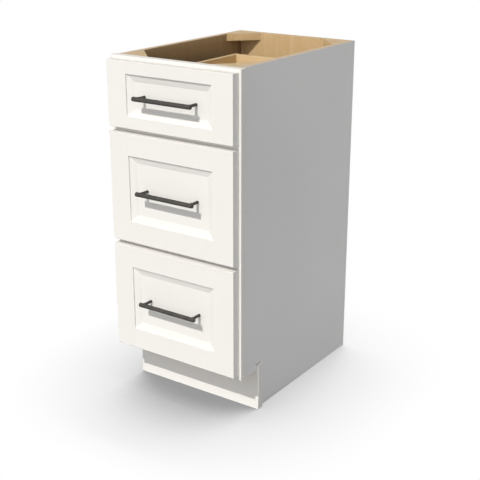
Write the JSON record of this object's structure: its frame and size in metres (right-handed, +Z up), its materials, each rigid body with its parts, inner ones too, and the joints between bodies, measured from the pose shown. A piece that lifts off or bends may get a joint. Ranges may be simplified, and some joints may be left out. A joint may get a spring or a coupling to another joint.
{
  "type": "vanity drawer base cabinet",
  "caption": "White face-frame vanity base cabinet with stacked drawers on full-extension slides, recessed-panel fronts, dark bar pulls, a toe kick and an open top for a counter.",
  "frame": {"origin": "on the floor, under the middle of the cabinet's whole box, pulls included", "axes": "+Z up, +X to the right seen from the front, -Y towards the front, where the drawers open"},
  "size_m": [0.381, 0.5864, 0.8763],
  "materials": {
    "white_paint": "satin white paint",
    "side_board": "white outside, maple inside and on the edges",
    "maple": "clear satin maple",
    "zinc_steel": "zinc plated",
    "screw_steel": "plain steel",
    "dark_metal": "satin dark bronze",
    "bumper_rubber": "soft clear rubber"
  },
  "bodies": {
    "carcass": {"left_side_panel": "side_board", "right_side_panel": "side_board", "floor_panel": "maple", "back_panel": "maple", "toe_kick_board": "white_paint", "hanging_rails": "maple", "corner_blocks": "maple", "left_frame_stile": "white_paint", "right_frame_stile": "white_paint", "top_frame_rail": "white_paint", "upper_middle_frame_rail": "white_paint", "lower_middle_frame_rail": "white_paint", "bottom_frame_rail": "white_paint", "slide_cabinet_members": "zinc_steel", "rear_slide_brackets": "zinc_steel"},
    "top_drawer": {"top_front_stiles": "white_paint", "top_front_rails": "white_paint", "top_front_panel": "white_paint", "top_front_bumpers": "bumper_rubber", "top_pull": "dark_metal", "top_box_left_side": "maple", "top_box_right_side": "maple", "top_box_front": "maple", "top_box_back": "maple", "top_box_bottom": "maple", "top_pull_screws": "screw_steel", "top_front_screws": "screw_steel", "top_slide_drawer_members": "zinc_steel"},
    "top_carriages": {"top_slide_carriages": "zinc_steel", "top_slide_ball_races": "screw_steel"},
    "middle_drawer": {"middle_front_stiles": "white_paint", "middle_front_rails": "white_paint", "middle_front_panel": "white_paint", "middle_front_bumpers": "bumper_rubber", "middle_pull": "dark_metal", "middle_box_left_side": "maple", "middle_box_right_side": "maple", "middle_box_front": "maple", "middle_box_back": "maple", "middle_box_bottom": "maple", "middle_pull_screws": "screw_steel", "middle_front_screws": "screw_steel", "middle_slide_drawer_members": "zinc_steel"},
    "middle_carriages": {"middle_slide_carriages": "zinc_steel", "middle_slide_ball_races": "screw_steel"},
    "bottom_drawer": {"bottom_front_stiles": "white_paint", "bottom_front_rails": "white_paint", "bottom_front_panel": "white_paint", "bottom_front_bumpers": "bumper_rubber", "bottom_pull": "dark_metal", "bottom_box_left_side": "maple", "bottom_box_right_side": "maple", "bottom_box_front": "maple", "bottom_box_back": "maple", "bottom_box_bottom": "maple", "bottom_pull_screws": "screw_steel", "bottom_front_screws": "screw_steel", "bottom_slide_drawer_members": "zinc_steel"},
    "bottom_carriages": {"bottom_slide_carriages": "zinc_steel", "bottom_slide_ball_races": "screw_steel"}
  },
  "joints": [
    {"name": "top_drawer_slide", "type": "slide", "parent": "carcass", "child": "top_drawer", "axis": [0, -1, 0], "range_m": [0, 0.445]},
    {"name": "top_carriages_slide", "type": "slide", "parent": "carcass", "child": "top_carriages", "axis": [0, -1, 0], "range_m": [0, 0.2225]},
    {"name": "middle_drawer_slide", "type": "slide", "parent": "carcass", "child": "middle_drawer", "axis": [0, -1, 0], "range_m": [0, 0.445]},
    {"name": "middle_carriages_slide", "type": "slide", "parent": "carcass", "child": "middle_carriages", "axis": [0, -1, 0], "range_m": [0, 0.2225]},
    {"name": "bottom_drawer_slide", "type": "slide", "parent": "carcass", "child": "bottom_drawer", "axis": [0, -1, 0], "range_m": [0, 0.445]},
    {"name": "bottom_carriages_slide", "type": "slide", "parent": "carcass", "child": "bottom_carriages", "axis": [0, -1, 0], "range_m": [0, 0.2225]}
  ],
  "couplings": [
    {"joint": "top_carriages_slide", "follows": "top_drawer_slide", "ratio": 0.5},
    {"joint": "middle_carriages_slide", "follows": "middle_drawer_slide", "ratio": 0.5},
    {"joint": "bottom_carriages_slide", "follows": "bottom_drawer_slide", "ratio": 0.5}
  ]
}
